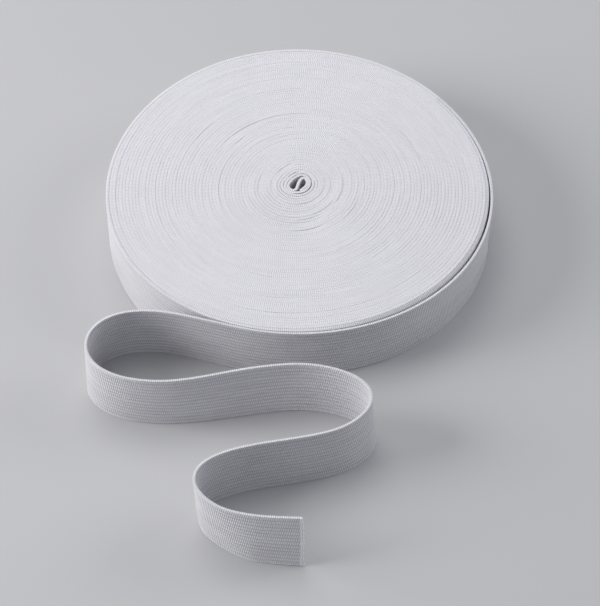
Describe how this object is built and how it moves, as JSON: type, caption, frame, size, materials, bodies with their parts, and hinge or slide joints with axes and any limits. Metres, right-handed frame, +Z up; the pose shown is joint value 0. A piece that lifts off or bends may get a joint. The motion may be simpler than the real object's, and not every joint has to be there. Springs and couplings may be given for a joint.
{
  "type": "roll of elastic",
  "caption": "Flat roll of white ribbed elastic band lying on its side, with an S-shaped open middle and a loose end that snakes out on its edge.",
  "frame": {"origin": "on the winding axis, on the underside that the roll rests on", "axes": "+Z up along the winding axis, +X to the right and +Y away as seen in the picture, so the loose end lies towards -Y"},
  "size_m": [0.1259, 0.1921, 0.02],
  "materials": {
    "wound_elastic": "matte ribbed weave",
    "loose_elastic": "matte ribbed weave"
  },
  "bodies": {
    "root": {"roll": "wound_elastic", "loose_end": "loose_elastic"}
  },
  "joints": []
}
